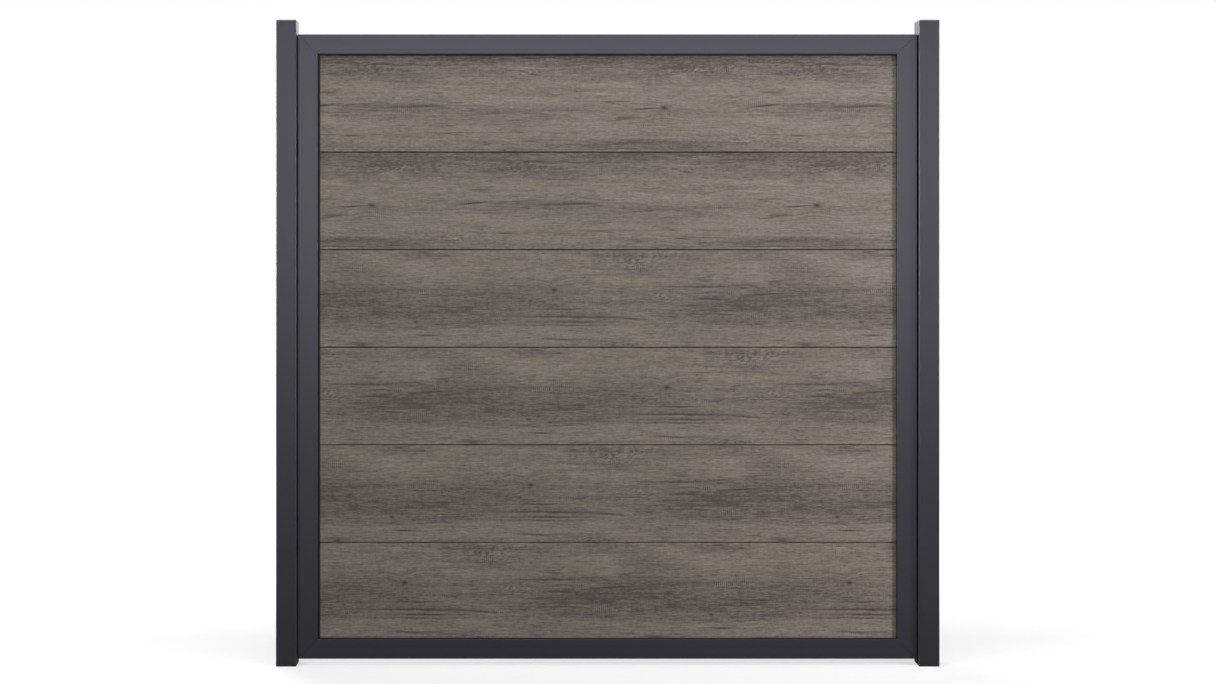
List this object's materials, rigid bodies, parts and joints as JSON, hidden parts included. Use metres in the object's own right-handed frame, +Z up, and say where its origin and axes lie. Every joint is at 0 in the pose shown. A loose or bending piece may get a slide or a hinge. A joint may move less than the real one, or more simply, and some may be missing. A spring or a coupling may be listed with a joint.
{
  "type": "pvc fence panel",
  "caption": "Privacy fence panel: wide tongue-and-groove PVC boards with an oak print in a mitred dark grey frame, bracketed between square posts.",
  "frame": {"origin": "on the ground, midway between the feet of the posts", "axes": "+Z up, +X from the left post to the right post seen from the front, front faces -Y"},
  "size_m": [2.032, 0.062, 1.98],
  "materials": {
    "board_print": "embossed grey oak print",
    "frame_coat": "fine satin anthracite powder coat",
    "cap_plastic": "matt moulded plastic",
    "gasket_rubber": "matt black extrusion",
    "block_plastic": "matt black moulding",
    "cleat_casting": "raw casting",
    "bracket_coat": "satin anthracite powder coat",
    "screw_steel": "plain stainless steel"
  },
  "bodies": {
    "root": {"board_1": "board_print", "board_2": "board_print", "board_3": "board_print", "board_4": "board_print", "board_5": "board_print", "board_6": "board_print", "setting_blocks": "block_plastic", "bottom_rail": "frame_coat", "left_stile": "frame_coat", "top_rail": "frame_coat", "right_stile": "frame_coat", "front_gasket_bottom": "gasket_rubber", "back_gasket_bottom": "gasket_rubber", "front_gasket_left": "gasket_rubber", "back_gasket_left": "gasket_rubber", "front_gasket_top": "gasket_rubber", "back_gasket_top": "gasket_rubber", "front_gasket_right": "gasket_rubber", "back_gasket_right": "gasket_rubber", "corner_cleat_bottom_left": "cleat_casting", "corner_cleat_bottom_right": "cleat_casting", "corner_cleat_top_left": "cleat_casting", "corner_cleat_top_right": "cleat_casting", "left_post": "frame_coat", "right_post": "frame_coat", "left_post_cap": "cap_plastic", "right_post_cap": "cap_plastic", "left_bracket_lower": "bracket_coat", "left_bracket_upper": "bracket_coat", "right_bracket_lower": "bracket_coat", "right_bracket_upper": "bracket_coat", "bracket_post_screws": "screw_steel", "bracket_frame_screws": "screw_steel"}
  },
  "joints": []
}
